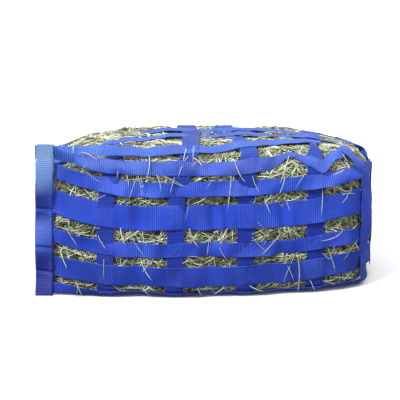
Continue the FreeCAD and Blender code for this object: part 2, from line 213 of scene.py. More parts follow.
def end_wall(s, p):
    z = 0 * (s + p)
    return np.stack([z + END_FACE, s + 0 * p, p + 0 * s], -1), np.stack([z + 1, z, z], -1)


def ring_section(q, x, depth):
    """Round the bag at x: q mm up the front from the foot, over the top, down the back and under."""
    front, back, top, low = front_face(x)[0] + depth, BACK - depth, roof_height(x) - depth, depth
    sf, sb, ft = SHOULDER - depth, SHOULDER_BACK - depth, FOOT - depth
    corners = [(front + sf, top - sf, sf), (back - sb, top - sb, sb),
               (back - ft, low + ft, ft), (front + ft, low + ft, ft)]
    y, z, ny, nz = (np.zeros_like(q + x) for _ in range(4))
    at, angle = 0 * x, math.pi
    py, pz = front + 0 * x, low + ft + 0 * x
    for cy, cz, r in corners:
        cos, sin = math.cos(angle), math.sin(angle)
        run = (cy + r * cos - py) * sin - (cz + r * sin - pz) * cos
        local = q - at
        straight = (local >= 0) & (local < run)
        y, z = np.where(straight, py + sin * local, y), np.where(straight, pz - cos * local, z)
        ny, nz = np.where(straight, cos, ny), np.where(straight, sin, nz)
        turn = (local - run) / r
        bend = (turn >= 0) & (turn < math.pi / 2)
        a = angle - turn
        y, z = np.where(bend, cy + r * np.cos(a), y), np.where(bend, cz + r * np.sin(a), z)
        ny, nz = np.where(bend, np.cos(a), ny), np.where(bend, np.sin(a), nz)
        at = at + run + r * math.pi / 2
        angle -= math.pi / 2
        py, pz = cy + r * math.cos(angle), cz + r * math.sin(angle)
    closing = q - at
    last = closing >= 0
    y, z = np.where(last, front, y), np.where(last, low + ft + closing, z)
    ny, nz = np.where(last, -1.0, ny), np.where(last, 0.0, nz)
    return np.stack([x + 0 * q, y, z], -1), np.stack([0 * y, ny, nz], -1)


def ring_length(x, depth):
    height, width = roof_height(x) - 2 * depth, BACK - front_face(x)[0] - 2 * depth
    radii = SHOULDER + SHOULDER_BACK + 2 * FOOT - 4 * depth
    return 2 * (height + width) - radii * (2 - math.pi / 2)


SINK_FROM, SINK_FULL = 345.0, 450.0     # the sinking starts and is full at these heights


def settled(point):
    """The loosely filled top sinks towards the back and both ends; nothing goes below the floor."""
    x, y, z = point[..., 0], point[..., 1], point[..., 2]
    high = np.clip((z - SINK_FROM) / (SINK_FULL - SINK_FROM), 0, 1) ** 1.4
    rear = 0.5 - 0.5 * np.cos(math.pi * np.clip((y + 90) / 230, 0, 1))
    right = np.clip((x - 215) / 240, 0, 1) ** 1.3
    left = np.clip((-250 - x) / 200, 0, 1)
    lower = np.clip((z - 300) / 60, 0, 1)
    drop = high * (22 * rear + 50 * right * (0.25 + 0.75 * rear)) + 24 * left * rear * lower
    return np.stack([x, y, np.maximum(z - drop, 0.0)], -1)


# ---------------------------------------------------------------- meshes

def make_mesh(name, points, faces, material, caps=(), attributes=None):
    """A smooth-shaded mesh of equal faces, with a few larger faces as caps, and values on its points."""
    mesh = bpy.data.meshes.new(name)
    faces = np.asarray(faces, np.int32)
    corners = np.concatenate([faces.ravel()] + [np.asarray(c, np.int32) for c in caps])
    sizes = [faces.shape[1]] * len(faces) + [len(c) for c in caps]
    mesh.vertices.add(len(points))
    mesh.vertices.foreach_set("co", (settled(np.asarray(points, np.float64)) * MM).astype(np.float32).ravel())
    mesh.loops.add(len(corners))
    mesh.loops.foreach_set("vertex_index", corners)
    mesh.polygons.add(len(sizes))
    starts = np.concatenate([[0], np.cumsum(sizes)[:-1]]).astype(np.int32)
    mesh.polygons.foreach_set("loop_start", starts)
    mesh.polygons.foreach_set("use_smooth", np.arange(len(sizes)) < len(faces))
    for key, values in (attributes or {}).items():
        layer = mesh.attributes.new(key, "FLOAT", "POINT")
        layer.data.foreach_set("value", np.asarray(values, np.float32).ravel())
    mesh.materials.append(material)
    mesh.update()
    mesh.validate()
    piece = bpy.data.objects.new(name, mesh)
    bpy.context.collection.objects.link(piece)
    return piece


def tube_faces(rows, columns, closed=False):
    """Quads of a grid whose columns close into a tube; closed also joins its last row to its first."""
    i, j = np.meshgrid(np.arange(rows if closed else rows - 1), np.arange(columns), indexing="ij")
    a, b = i * columns + j, i * columns + (j + 1) % columns
    c, d = ((i + 1) % rows) * columns + (j + 1) % columns, ((i + 1) % rows) * columns + j
    return np.stack([a, b, c, d], -1).reshape(-1, 4)


# The webbing's section: position across (-0.5 to 0.5) and through (0 inner face, 1 outer face)
SECTION = ([(-0.5, 0.5), (-0.494, 0.82), (-0.478, 0.97)]
           + [(v, 1.0) for v in np.linspace(-0.455, 0.455, 15)]
           + [(0.478, 0.97), (0.494, 0.82), (0.5, 0.5), (0.494, 0.18), (0.478, 0.03)]
           + [(v, 0.0) for v in np.linspace(0.455, -0.455, 7)]
           + [(-0.478, 0.03), (-0.494, 0.18)])


class Strap:
    """A length of ribbed webbing lying on a surface, with its own soft creases."""

    def __init__(self, surface, seed, stations, place, width, depth=0.0, closed=False):
        rng = np.random.default_rng(seed)
        self.surface, self.place = surface, place
        self.stations = np.asarray(stations, float)
        self.width, self.depth, self.closed = width, depth, closed
        self.wander, self.breathe = ripple(rng, 4, 500, 120), ripple(rng, 4, 300, 60)
        self.curl, self.tilt = ripple(rng, 4, 260, 70), ripple(rng, 5, 330, 45)
        self.wander_size, self.breathe_size, self.curl_size, self.tilt_size = 1.3, 0.7, 0.9, 0.4
        self.folds, self.pinches = [], []
        self.extra, self.lean = None, 0.0

    def fold(self, at, height, half, slant=0.0):
        self.folds.append((at, height, half, slant))
        return self

    def pinch(self, at, share, half):
        self.pinches.append((at, share, half))
        return self

    def lifted(self, s, v):
        out = self.breathe_size * self.breathe(s) + self.curl_size * self.curl(s) * (2 * v) ** 2
        out = out + (self.tilt_size * self.tilt(s) + self.lean) * 2 * v
        for at, height, half, slant in self.folds:
            out = out + height * bell(s + slant * v, at, half)
        if self.extra is not None:
            out = out + self.extra(s, v)
        return out

    def at(self, s, v, through=1.0):
        """Points and normals on the strap: v across, through 0 inner face to 1 outer face."""
        width = self.width * (1 - sum(share * bell(s, at, half) for at, share, half in self.pinches))
        p = self.place(s) + self.wander_size * self.wander(s) + v * width
        point, normal = self.surface(s, p)
        height = self.lifted(s, v) - self.depth - WEB * (1 - through)
        return point + normal * height[..., None], normal

    def make(self, name, material):
        s = self.stations
        middle, _ = self.at(s, 0 * s)
        step = np.linalg.norm(np.diff(middle, axis=0), axis=1)
        length = np.concatenate([[0], np.cumsum(step)])
        count = max(4, int(round(length[-1] / STEP)))
        if self.closed:
            count = int(round(count / 5)) * 5
        fine = np.linspace(0, length[-1], count + 1)
        if self.closed:
            fine = fine[:-1]
        s = np.interp(fine, length, self.stations)
        v = np.array([c[0] for c in SECTION])
        t = np.array([c[1] for c in SECTION])
        sg, vg = np.meshgrid(s, v, indexing="ij")
        point, normal = self.at(sg, vg, t[None, :])
        pitch = length[-1] / max(1, round(length[-1] / RIB))
        rib = 0.5 + 0.5 * np.cos(2 * math.pi * fine / pitch)
        face = np.where(t > 0.9, 1.0, np.where(t < 0.1, -0.6, 0.0)) * np.clip((0.49 - np.abs(v)) / 0.03, 0, 1)
        point = point + normal * (RIB_HEIGHT * (rib[:, None] - 0.6) * face[None, :])[..., None]
        rows, columns = len(s), len(v)
        faces = tube_faces(rows, columns, self.closed)
        first, last = np.arange(columns), np.arange(columns)[::-1] + (rows - 1) * columns
        caps = [] if self.closed else [first, last]
        marks = {"along": np.repeat(fine, columns), "across": np.tile(v * self.width, rows)}
        return make_mesh(name, point.reshape(-1, 3), faces, material, caps, marks)


# ---------------------------------------------------------------- materials

def nodes_of(name):
    material = bpy.data.materials.new(name)
    material.use_nodes = True
    tree = material.node_tree
    shader = next(n for n in tree.nodes if n.type == "BSDF_PRINCIPLED")
    return material, tree, shader


def add(tree, kind, **settings):
    node = tree.nodes.new(kind)
    for key, value in settings.items():
        setattr(node, key, value)
    return node


def link(tree, source, target):
    tree.links.new(source, target)


def wave(tree, source, pitch, phase=0.0):
    """0 to 1 along a length given in millimetres."""
    scaled = add(tree, "ShaderNodeMath", operation="MULTIPLY_ADD")
    link(tree, source, scaled.inputs[0])
    scaled.inputs[1].default_value = 2 * math.pi / pitch
    scaled.inputs[2].default_value = phase
    sine = add(tree, "ShaderNodeMath", operation="SINE")
    link(tree, scaled.outputs[0], sine.inputs[0])
    half = add(tree, "ShaderNodeMath", operation="MULTIPLY_ADD")
    link(tree, sine.outputs[0], half.inputs[0])
    half.inputs[1].default_value = 0.5
    half.inputs[2].default_value = 0.5
    return half.outputs[0]


def ramp(tree, source, stops):
    node = add(tree, "ShaderNodeValToRGB")
    link(tree, source, node.inputs[0])
    items = node.color_ramp.elements
    while len(items) < len(stops):
        items.new(0.5)
    for item, (place, colour) in zip(items, stops):
        item.position = place
        item.color = (*colour, 1.0)
    return node.outputs[0]


def blend_colour(tree, factor, first, second, mode="MIX"):
    node = add(tree, "ShaderNodeMix", data_type="RGBA", blend_type=mode)
    for socket, value in ((node.inputs[0], factor), (node.inputs[6], first), (node.inputs[7], second)):
        if hasattr(value, "links"):
            link(tree, value, socket)
        elif isinstance(value, tuple):
            socket.default_value = (*value, 1.0)
        else:
            socket.default_value = value
    return node.outputs[2]


def noise(tree, scale, detail=3.0, source=None):
    place = add(tree, "ShaderNodeTexCoord")
    node = add(tree, "ShaderNodeTexNoise")
    node.inputs["Scale"].default_value = scale
    node.inputs["Detail"].default_value = detail
    link(tree, source or place.outputs["Object"], node.inputs["Vector"])
    return node.outputs["Fac"]


def bump(tree, shader, height, strength, distance):
    node = add(tree, "ShaderNodeBump")
    node.inputs["Strength"].default_value = strength
    node.inputs["Distance"].default_value = distance
    link(tree, height, node.inputs["Height"])
    link(tree, node.outputs[0], shader.inputs["Normal"])


def add_range(tree, source, low, high):
    node = add(tree, "ShaderNodeMapRange")
    link(tree, source, node.inputs[0])
    node.inputs[1].default_value = low
    node.inputs[2].default_value = high
    return node.outputs[0]


def blend(a, b, t):
    return tuple(p + (q - p) * t for p, q in zip(a, b))


# Painted light and shade on the webbing by height, from the floor (0) to the ramp's top height (1): darker
# low down, lighter up high, as light falls from above
LIGHT_RAMP_TOP = 0.47
HEIGHT_LIGHT_AND_SHADE = [(0.0, (0.50, 0.55, 0.68)), (0.5, (0.75, 0.90, 1.08)), (0.75, (1.0, 1.08, 1.05)),
        (0.86, (0.6, 0.85, 0.82)), (1.0, (1.3, 1.35, 0.82))]
# On the mouth hem: painted bands of light and shade up its height, with a strong painted highlight along the
# top
HEM_LIGHT_AND_SHADE = [(0.0, (0.02, 0.12, 0.46)), (0.26, (0.06, 0.20, 0.52)), (0.36, (0.9, 0.95, 0.85)),
            (0.47, (0.9, 0.95, 0.85)), (0.55, (0.2, 0.42, 0.68)), (0.68, (0.3, 0.5, 0.75)),
            (0.76, (6.0, 3.0, 1.05)), (1.0, (8.0, 4.0, 1.1))]


def webbing_material(name, dark, middle, light, gloss=0.75, painted_light=HEIGHT_LIGHT_AND_SHADE):
    """Royal blue woven webbing: ribs with painted shade in their valleys, a fine yarn pattern, patchy tone,
    and painted light and shade by height, darker low down and lighter up high.
    """
    material, tree, shader = nodes_of(name)
    along = add(tree, "ShaderNodeAttribute", attribute_name="along").outputs["Fac"]
    across = add(tree, "ShaderNodeAttribute", attribute_name="across").outputs["Fac"]
    rib = wave(tree, along, RIB, math.pi / 2)
    yarn = wave(tree, across, YARN)
    weft = wave(tree, along, RIB / 3)
    cloudy = noise(tree, 9.0, 5.0)
    patchy = ramp(tree, cloudy, [(0.3, blend(middle, dark, 0.5)), (0.5, middle),
                                 (0.7, blend(middle, light, 0.5))])
    # Painted shade: the rib valleys take the dark colour and the crests the patchy one
    rib_shaded = blend_colour(tree, rib, dark, patchy)
    yarns = add(tree, "ShaderNodeMath", operation="MULTIPLY")
    link(tree, yarn, yarns.inputs[0])
    link(tree, weft, yarns.inputs[1])
    woven = blend_colour(tree, yarns.outputs[0], rib_shaded, blend_colour(tree, 0.35, rib_shaded, light))
    dust = ramp(tree, noise(tree, 260.0, 2.0), [(0.66, (0, 0, 0)), (0.74, (1, 1, 1))])
    dusty = add(tree, "ShaderNodeMath", operation="MULTIPLY")
    link(tree, dust, dusty.inputs[0])
    dusty.inputs[1].default_value = DUST
    place = add(tree, "ShaderNodeTexCoord")
    split = add(tree, "ShaderNodeSeparateXYZ")
    link(tree, place.outputs["Object"], split.inputs[0])
    # Painted light and shade: the colour is multiplied by a ramp on the object's height
    height_light_and_shade = ramp(tree, add_range(tree, split.outputs["Z"], 0.0, LIGHT_RAMP_TOP), painted_light)
    lit_by_height = blend_colour(tree, 1.0, woven, height_light_and_shade, "MULTIPLY")
    coloured = blend_colour(tree, dusty.outputs[0], lit_by_height, (0.30, 0.31, 0.30))
    link(tree, coloured, shader.inputs["Base Color"])
    rough = add(tree, "ShaderNodeMapRange")
    link(tree, noise(tree, 90.0, 3.0), rough.inputs[0])
    rough.inputs[3].default_value = 0.36
    rough.inputs[4].default_value = 0.54
    link(tree, rough.outputs[0], shader.inputs["Roughness"])
    shader.inputs["Sheen Weight"].default_value = 0.12
    shader.inputs["Sheen Roughness"].default_value = 0.4
    shader.inputs["Sheen Tint"].default_value = (0.62, 0.75, 1.0, 1.0)
    shader.inputs["Specular IOR Level"].default_value = gloss
    height = add(tree, "ShaderNodeMath", operation="ADD")
    link(tree, yarns.outputs[0], height.inputs[0])
    link(tree, weft, height.inputs[1])
    bump(tree, shader, height.outputs[0], 0.6, 0.0005)
    return material


def thread_material():
    material, tree, shader = nodes_of("stitch_thread")
    colour = ramp(tree, noise(tree, 400.0), [(0.3, (0.06, 0.13, 0.80)), (0.7, (0.22, 0.34, 0.95))])
    link(tree, colour, shader.inputs["Base Color"])
    shader.inputs["Roughness"].default_value = 0.45
    bump(tree, shader, noise(tree, 2500.0), 0.4, 0.0003)
    return material


def hay_material(name, shade_factor):
    """Dry stalks: each has its own tone, streaked along and blotched across its length."""
    material, tree, shader = nodes_of(name)
    tone = add(tree, "ShaderNodeAttribute", attribute_name="tone").outputs["Fac"]
    stops = [(0.0, (0.014, 0.017, 0.010)), (0.18, (0.050, 0.058, 0.034)), (0.42, (0.19, 0.215, 0.13)),
             (0.62, (0.40, 0.44, 0.30)), (0.82, (0.66, 0.71, 0.55)), (1.0, (0.90, 0.93, 0.80))]
    # The whole ramp is scaled down by the factor; 0.3 paints shade on the hay deep under the stalks
    base = ramp(tree, tone, [(p, tuple(c * shade_factor for c in colour)) for p, colour in stops])
    blotch = ramp(tree, noise(tree, 120.0, 5.0), [(0.3, (0.62, 0.62, 0.54)), (0.65, (1.12, 1.1, 1.04))])
    link(tree, blend_colour(tree, 1.0, base, blotch, "MULTIPLY"), shader.inputs["Base Color"])
    shader.inputs["Roughness"].default_value = 0.62
    shader.inputs["Specular IOR Level"].default_value = 0.35
    bump(tree, shader, noise(tree, 1800.0, 2.0), 0.5, 0.0004)
    return material


def metal_material():
    material, tree, shader = nodes_of("nickel_plate")
    colour = ramp(tree, noise(tree, 60.0, 4.0), [(0.3, (0.55, 0.54, 0.52)), (0.7, (0.74, 0.74, 0.73))])
    link(tree, colour, shader.inputs["Base Color"])
    shader.inputs["Metallic"].default_value = 1.0
    rough = add(tree, "ShaderNodeMapRange")
    link(tree, noise(tree, 180.0, 5.0), rough.inputs[0])
    rough.inputs[3].default_value = 0.22
    rough.inputs[4].default_value = 0.42
    link(tree, rough.outputs[0], shader.inputs["Roughness"])
    bump(tree, shader, noise(tree, 700.0, 3.0), 0.15, 0.0003)
    return material


BLUE = webbing_material("blue_webbing", (0.002, 0.022, 0.30), (0.009, 0.082, 0.84), (0.08, 0.22, 1.0))
# The hem's webbing carries painted bands of light and shade by height
BLUE_HEM_PAINTED_LIGHT = webbing_material("blue_webbing_hem_painted_light", (0.008, 0.040, 0.34), (0.022, 0.110, 0.86), (0.10, 0.25, 1.0),
                            painted_light=HEM_LIGHT_AND_SHADE)
# A darker, less glossy copy of the webbing for the hoops: painted shade where they lie under the straps
BLUE_PAINTED_SHADE = webbing_material("blue_webbing_painted_shade", (0.002, 0.012, 0.20), (0.006, 0.050, 0.56),
                              (0.05, 0.14, 0.8), gloss=0.4)
THREAD = thread_material()
HAY = hay_material("hay_stalk", 1.0)
HAY_PAINTED_SHADE = hay_material("hay_inside_painted_shade", 0.3)
METAL = metal_material()


# ---------------------------------------------------------------- the bag

def show(piece, body, *replaced, slot="webbing"):
    """Let a piece ride on a body, in place of the CAD nodes it replaces."""
    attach(piece, body)
    if replaced:
        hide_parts(*replaced)
    return piece


def crossings(half=31.0, sink=2.4):
    """A lengthwise strap lies higher where a hoop runs under it."""
    def extra(s, v):
        raised = sum(1 / (1 + ((s - x) / half) ** 8) for x in HOOPS)
        return -sink * (1 - np.clip(raised, 0, 1))
    return extra


# Straps that are stitched later
HEM, FRONT_STRAPS, BACK_STRAPS, TOP_STRAPS = [], [], [], []

# How far each front strap rises towards the closed end: distances along it and rises
RISES = [([130, 190, 262, 312, 350, 400, 450], [0, 6, 34, 12, -8, 34, 50]),
         ([200, 300, 380, 460], [0, 6, 18, 26]), ([220, 460], [0, 20]), ([220, 460], [0, 16]),
         ([220, 460], [0, 20]), ([220, 460], [0, 6])]

# Soft creases across each front strap: distance along it, height, half its length
CREASES = [[(-133, -5, 20), (-60, 3, 16), (21, -5, 18), (215, -3, 22)],
           [(-240, 4, 18), (-190, -4, 16), (-130, 4, 18), (-40, 4, 20), (35, -5, 18), (95, 3, 16),
            (240, -4, 16)],
           [(-203, -6, 12), (-120, 3, 26), (28, -6, 12), (62, -5, 9), (232, -6, 12)],
           [(-255, 3, 20), (-185, -4, 16), (5, -5, 18), (70, 4, 20), (228, -4, 16)],
           [(-196, -4, 18), (-140, 3, 20), (18, -5, 20), (205, -5, 18)],
           [((a + b) / 2, -3, 30) for a, b in zip(HOOPS, HOOPS[1:])]]
TILT_SIZES = (2.8, 2.6, 1.2, 2.2, 1.8, 0.8)
FRONT_LEANS = (-0.5, -5.0, -2.5, -1.0, 1.5, 2.0)


def front_place(row):
    middle, mouth, _ = FRONT_ROWS[row]
    spots, rises = RISES[row]
    return lambda s: mix(middle, mouth, fall(s)) + smooth_path(s, spots, rises)


def smooth_path(s, spots, values):
    """Through the given values with level joints."""
    s = np.asarray(s, float)
    k = np.clip(np.searchsorted(spots, s) - 1, 0, len(spots) - 2)
    a, b = np.asarray(spots, float)[k], np.asarray(spots, float)[k + 1]
    t = np.clip((s - a) / (b - a), 0, 1)
    va, vb = np.asarray(values, float)[k], np.asarray(values, float)[k + 1]
    return va + (vb - va) * t * t * (3 - 2 * t)


def make_front_straps():
    end = front_corner(62)
    for row, (_, _, width) in enumerate(FRONT_ROWS):
        strap = Strap(front_wall, 100 + row, np.linspace(LEFT + 4, end, 400), front_place(row), width)
        strap.extra = crossings()
        for at, height, half in CREASES[row]:
            strap.fold(at, height, half, slant=8.0 * (-1) ** row)
            strap.fold(at + 2.4 * half, -0.5 * height, 1.1 * half, slant=-5.0)
            strap.fold(at - 2.4 * half, -0.4 * height, 1.1 * half)
        strap.tilt_size, strap.lean = TILT_SIZES[row], FRONT_LEANS[row]
        strap.curl_size = 1.3
        if row == 0:
            strap.pinch(262, 0.52, 50).pinch(-385, 0.3, 40)
        FRONT_STRAPS.append(strap)
        name = "front_strap_%d" % (row + 1)
        show(strap.make(name + "_webbing", BLUE), "bag", name)


def make_back_straps():
    rear = FLAP_FACE + REAR_CORNER
    corner = rear - REAR_CORNER * math.pi / 2
    free = corner - (BACK - REAR_CORNER - cad("flap_strap_1")[0][1])
    for row, (middle, width) in enumerate(BACK_ROWS):
        on_flap = 1 <= row <= 4
        end = back_corner(88 if on_flap else 62)
        start = free if on_flap else corner
        strap = Strap(back_wall, 200 + row, np.linspace(start, end, 500),
                      lambda s, middle=middle: middle + 0 * s, width)
        strap.extra = crossings()
        rng = np.random.default_rng(260 + row)
        for a, b in zip(HOOPS, HOOPS[1:]):
            strap.fold((a + b) / 2 + rng.uniform(-30, 30), rng.uniform(-7, -3), rng.uniform(16, 30))
        BACK_STRAPS.append(strap)
        name = "back_strap_%d" % (row + 1)
        if on_flap:
            piece = strap.make(name + "_webbing", BLUE)
            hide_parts(name, "flap_strap_%d" % row)
            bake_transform(piece)
        else:
            show(strap.make(name + "_webbing", BLUE), "bag", name)


def make_top_and_bottom_straps():
    middle, mouth, _ = FRONT_ROWS[0]

    def beside_first(s):
        return mix(middle + FRONT_TOP_RISE + TOP_SLANT * np.maximum(s - CREST, 0), mouth + 8, fall(s))
    strap = Strap(front_wall, 300, np.linspace(LEFT + 8, 372, 320), beside_first, NARROW)
    over_hoops = crossings()
    strap.extra = lambda s, v: over_hoops(s, v) - 7.0 * np.clip((-330 - s) / 90, 0, 1)
    strap.fold(-180, -4, 24).fold(30, -4, 30).fold(215, -4, 24)
    TOP_STRAPS.append(strap)
    show(strap.make("top_strap_1_webbing", BLUE), "bag", "top_strap_1")
    for i, (y, slant) in enumerate(TOP_ROWS):
        strap = Strap(top_wall, 301 + i, np.linspace(MOUTH + 12, 400 - 45 * i, 300),
                      lambda s, y=y, slant=slant: y + slant * np.maximum(s - CREST, 0), NARROW)
        strap.extra = crossings()
        strap.fold(-190, -5, 30).fold(10, -5, 30).fold(225, -5, 30)
        TOP_STRAPS.append(strap)
        name = "top_strap_%d" % (i + 2)
        show(strap.make(name + "_webbing", BLUE), "bag", name)
    for i, y in enumerate(BOTTOM_ROWS):
        strap = Strap(bottom_wall, 310 + i, np.linspace(MOUTH + 4, 400, 100), lambda s: y + 0 * s, NARROW)
        strap.breathe_size, strap.curl_size = 0.0, 0.0
        name = "bottom_strap_%d" % (i + 1)
        show(strap.make(name + "_webbing", BLUE), "bag", name)


# How far each hoop leans towards +X, at distances up the front and over the top
LEANS = [([0, 250, 420, 560, 760, 1100, 1500], [0, 0, 30, 42, 40, 0, 0]),
         ([0, 300, 370, 440, 600, 800, 1200], [0, 8, 27, 49, 50, 30, 0]),
         ([0, 340, 430, 520, 640, 800, 1200], [0, 4, 13, -20, -70, -60, 0]),
         ([0, 330, 430, 520, 640, 800, 1200], [0, 2, -4, -10, -10, 0, 0])]


def make_hoops():
    """Hoops run once round the bag: the distance starts at the foot of the front and goes up."""
    for i, (x, (spots, leans)) in enumerate(zip(HOOPS, LEANS)):
        depth = LAYER + (2.0 if i == 3 else 0.0)
        total = float(ring_length(x, depth))

        def place(q):
            return x + np.interp(q, spots + [total], leans + [0])

        def surface(q, p):
            return ring_section(q, p, depth)
        strap = Strap(surface, 400 + i, np.linspace(0, total, 600), place, BAND, closed=True)
        strap.breathe_size, strap.curl_size = 0.0, 0.0
        strap.wander_size = 0.0
        if i == 3:
            strap.pinch(455, 0.62, 34).fold(450, 5, 30, slant=24)
        name = "hoop_%d" % (i + 1)
        # The hoops take the darker copy: painted shade under the straps
        show(strap.make(name + "_webbing", BLUE_PAINTED_SHADE), "bag", name)


def upright(surface, seed, low, high, place, width, depth=0.0):
    """A strap that runs up a wall: the wall's height is its length."""
    return Strap(lambda s, p: surface(p, s), seed, np.linspace(low, high, 240), place, width, depth)


def make_closed_end():
    for name, wall, base, seed in (("end_band_front", front_wall, front_corner(58), 500),
                                   ("end_band_back", back_wall, back_corner(62), 501)):
        strap = upright(wall, seed, 2, 455, lambda s: base - 62 * np.clip((s - 320) / 135, 0, 1) ** 2,
                        BAND, -LAYER)
        strap.tilt_size, strap.curl_size = 2.5, 1.5
        strap.breathe_size = 1.2
        strap.fold(240, 3, 40).fold(120, -2, 30)
        show(strap.make(name + "_webbing", BLUE), "bag", name)
    first, level = front_corner(64), front_corner(90)
    far = level + cad("end_strap_1")[1][1] - float(front_plan(np.array(level))[1])
    for i, (z, width) in enumerate(BACK_ROWS[1:5]):
        rise = RISES[i + 1][1][-1]

        def place(s):
            return z + (rise + 8) * (1 - np.clip((s - first) / (far - first), 0, 1))
        strap = Strap(front_wall, 510 + i, np.linspace(first, far, 160), place, width)
        show(strap.make("end_strap_%d_webbing" % (i + 1), BLUE), "bag", "end_strap_%d" % (i + 1))
    low, high = cad("end_upright")
    y = (low[1] + high[1]) / 2
    strap = upright(end_wall, 520, low[2], high[2], lambda s: y + 0 * s, BAND, -LAYER)
    show(strap.make("end_upright_webbing", BLUE), "bag", "end_upright")


def hem_wave(z):
    """The flat hem stands in soft waves."""
    return 24.0 * bell(z, 352, 62) - 10.0 * bell(z, 240, 40) + 19.0 * bell(z, 150, 46) - 6.0 * bell(z, 60, 30)


def hem_lean(z):
    return 11.0 * z / HEM_HEIGHT - 4.0


def make_mouth():
    for name, seed in (("mouth_hem_outer", 600), ("mouth_hem_inner", 601)):
        low, high = cad(name)
        outer = name.endswith("outer")
        share = 1.0 if outer else 0.3

        def surface(s, p, face=low[1], share=share, aside=0.0 if outer else 5.0):
            y = face - hem_wave(s) * share * np.clip(1 - 0.55 * (p - LEFT) / BAND, 0.4, 1)
            flat = 0 * (s + p)
            point = np.stack([p + hem_lean(s) + aside + flat, y + flat, s + flat], -1)
            return point, np.stack([flat, flat - 1, flat], -1)
        strap = Strap(surface, seed, np.linspace(0.5, HEM_HEIGHT, 300),
                      lambda s: (LEFT + MOUTH) / 2 + 0 * s, BAND)
        strap.wander_size = 0.8
        for at, height in ((275, -5), (158, -5), (78, -4)) if outer else ():
            strap.fold(at, height, 6, slant=9)
        if outer:
            HEM.append(strap)
        show(strap.make(name + "_webbing", BLUE_HEM_PAINTED_LIGHT), "bag", name)
    for name, wall, seed in (("mouth_hem_top", top_wall, 610), ("mouth_hem_bottom", bottom_wall, 611)):
        low, high = cad(name)
        x = (low[0] + high[0]) / 2
        strap = Strap(lambda s, p: wall(p, s), seed, np.linspace(low[1], high[1], 60),
                      lambda s: x + 0 * s, high[0] - low[0], LAYER)
        strap.breathe_size = 0.2
        show(strap.make(name + "_webbing", BLUE), "bag", name)


def make_flap():
    for name, seed in (("flap_hem", 700), ("flap_upright", 701)):
        low, high = cad(name)
        y = (low[1] + high[1]) / 2

        def surface(s, p):
            flat = 0 * (s + p)
            return np.stack([flat + low[0], p + flat, s + flat], -1), np.stack([flat - 1, flat, flat], -1)
        strap = Strap(surface, seed, np.linspace(low[2], high[2], 80), lambda s: y + 0 * s, BAND)
        strap.breathe_size, strap.curl_size, strap.wander_size = 0.2, 0.3, 0.3
        show(strap.make(name + "_webbing", BLUE), "flap", name)


# ---------------------------------------------------------------- hay

HAY_DEPTH = 18.0                # how far the hay's surface lies inside the straps' outer face
END_ROUND = 110.0               # radius of the hay's closed end
STALK_BATCHES, BATCH_SIZE = 9, 4500


def arc_reach(beyond, radius):
    """The other side of a right triangle on this radius, at this distance past its centre."""
    t = min(max(beyond, 0.0), radius * 0.99)
    return math.sqrt(radius * radius - t * t)


def hay_outline(x, left, right):
    """The hay's outline at x: it draws in round the plan corners, with points evenly spaced round it."""
    d = HAY_DEPTH
    cx = END_FACE - CORNER_FRONT
    cy = float(front_face(FRONT_TURN)[0]) + CORNER_FRONT * math.cos(HEADING)
    front = float(front_face(x)[0]) + d
    if x > FRONT_TURN - 30:
        front = max(front, cy - arc_reach(x - cx, CORNER_FRONT - d))
    rear_r = REAR_CORNER + 6
    rear = rear_r - arc_reach(left + rear_r - x, rear_r)
    back = min(BACK - d, BACK - CORNER_BACK + arc_reach(x - BACK_TURN, CORNER_BACK - d)) - rear
    end = END_ROUND - arc_reach(x - (right - END_ROUND), END_ROUND)
    low, top = d + 0.1 * end, float(roof_height(x)) - d - 0.7 * end
    foot = FOOT - d + 0.2 * end
    radii = [min(r, 0.46 * (back - front)) for r in
             (SHOULDER - d + 3, SHOULDER_BACK - d + 4 + 1.1 * rear, foot, foot)]
    centres = [(front + radii[0], top - radii[0]), (back - radii[1], top - radii[1]),
               (back - radii[2], low + radii[2]), (front + radii[3], low + radii[3])]
    path = []
    for k, ((y, z), r) in enumerate(zip(centres, radii)):
        for a in np.radians(np.linspace(180 - 90 * k, 90 - 90 * k, 16)):
            path.append((y + r * math.cos(a), z + r * math.sin(a)))
    path = np.array([path[-1]] + path)
    far = np.concatenate([[0], np.cumsum(np.linalg.norm(np.diff(path, axis=0), axis=1))])
    at = np.arange(200) / 200.0 * far[-1]
    return np.stack([np.full(200, x), np.interp(at, far, path[:, 0]), np.interp(at, far, path[:, 1])], -1)


def hay_grid():
    """Points on the hay's surface: rows from the mouth end to the closed end, columns round it."""
    left, right = MOUTH + 6, END_FACE - HAY_DEPTH
    rows = list(np.linspace(left, left + 66, 12)) + list(np.linspace(left + 74, right - 130, 88))
    rows += [right - 120 + 120 * math.sin(a) for a in np.linspace(0, math.pi / 2, 22)]
    grid = [hay_outline(float(x), left, right) for x in rows]
    for at, step in ((0, -1), (-1, 1)):
        edge = grid[at]
        middle = edge.mean(0)
        faces = [middle + (edge - middle) * share for share in np.linspace(0.95, 0.03, 15)]
        grid = faces[::-1] + grid if step < 0 else grid + faces
    return np.array(grid)


def normals_of(grid):
    along = np.gradient(grid, axis=0)
    wrapped = np.concatenate([grid[:, -1:], grid, grid[:, :1]], 1)
    round_it = (wrapped[:, 2:] - wrapped[:, :-2]) / 2
    normal = np.cross(along, round_it)
    normal /= np.linalg.norm(normal, axis=-1, keepdims=True) + 1e-9
    middle = grid.mean((0, 1))
    if ((grid - middle) * normal).sum(-1).mean() < 0:
        normal = -normal
    return normal, np.linalg.norm(along, axis=-1) + 1e-6, np.linalg.norm(round_it, axis=-1) + 1e-6


def sample(field, i, j):
    """Bilinear value of a grid that wraps round in its second direction."""
    i = np.clip(i, 0, field.shape[0] - 1.001)
    i0, j0 = np.floor(i).astype(int), np.floor(j).astype(int)
    a, b = (i - i0)[..., None], (j - j0)[..., None]
    n = field.shape[1]
    j0, j1 = np.mod(j0, n), np.mod(j0 + 1, n)
    near = field[i0, j0] * (1 - b) + field[i0, j1] * b
    far = field[i0 + 1, j0] * (1 - b) + field[i0 + 1, j1] * b
    return near * (1 - a) + far * a


